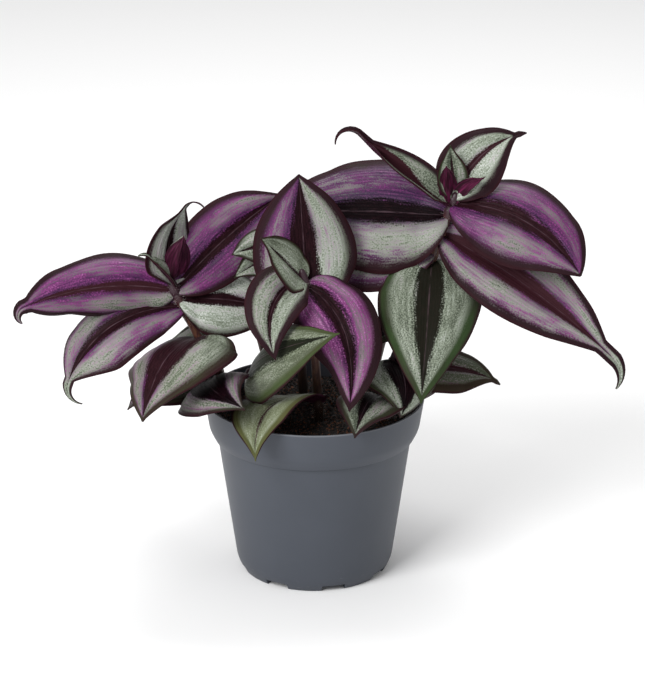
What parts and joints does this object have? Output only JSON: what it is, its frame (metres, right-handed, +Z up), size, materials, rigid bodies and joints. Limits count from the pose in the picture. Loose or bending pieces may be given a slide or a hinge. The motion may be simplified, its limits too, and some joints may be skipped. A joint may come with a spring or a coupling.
{
  "type": "potted tradescantia",
  "caption": "Bushy potted houseplant with striped purple and silver pointed leaves on arching stems, in soil in a tapered plastic nursery pot with a rim band.",
  "frame": {"origin": "centre of the pot's underside, on the flat round pad that the pot rests on", "axes": "+Z up along the pot's axis; -Y towards the front of the plant, the side that the low hanging leaves are on; +X to the viewer's right"},
  "size_m": [0.2426, 0.156, 0.186],
  "materials": {
    "pot_plastic": "satin moulded polypropylene, blue grey",
    "potting_soil": "moist, crumbly, almost black peat with brown bark grains",
    "leaf": "satin leaf skin, silver bands with a violet sheen on dark maroon"
  },
  "bodies": {
    "root": {"pot": "pot_plastic", "soil": "potting_soil", "shoot_a": "leaf", "shoot_b": "leaf", "shoot_c": "leaf", "shoot_d": "leaf", "shoot_e": "leaf", "shoot_f": "leaf", "shoot_g": "leaf", "shoot_h": "leaf"}
  },
  "joints": []
}
